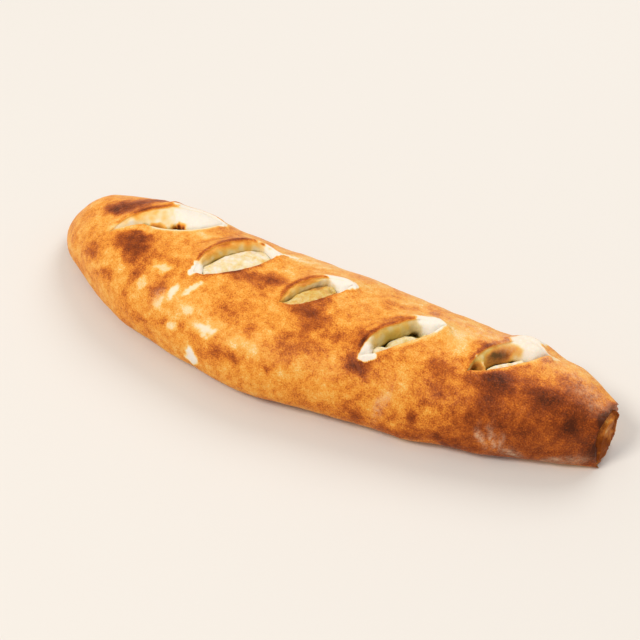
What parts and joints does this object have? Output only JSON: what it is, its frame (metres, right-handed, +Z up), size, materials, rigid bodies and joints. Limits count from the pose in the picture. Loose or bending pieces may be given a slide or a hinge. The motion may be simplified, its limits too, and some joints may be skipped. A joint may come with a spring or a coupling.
{
  "type": "stromboli",
  "caption": "Long baked dough roll with a cheese filling: rounded closed end, open cut end, diagonal slits along the top showing the filling, flat underside.",
  "frame": {"origin": "on the flat underside, below the middle of the loaf's box", "axes": "+X along the loaf from its closed round end to its open end, +Y to its far side in the picture, +Z up"},
  "size_m": [0.3648, 0.1084, 0.0514],
  "materials": {
    "baked_crust": null,
    "baked_cheese": null
  },
  "bodies": {
    "root": {"crust": "baked_crust", "cheese_filling": "baked_cheese"}
  },
  "joints": []
}
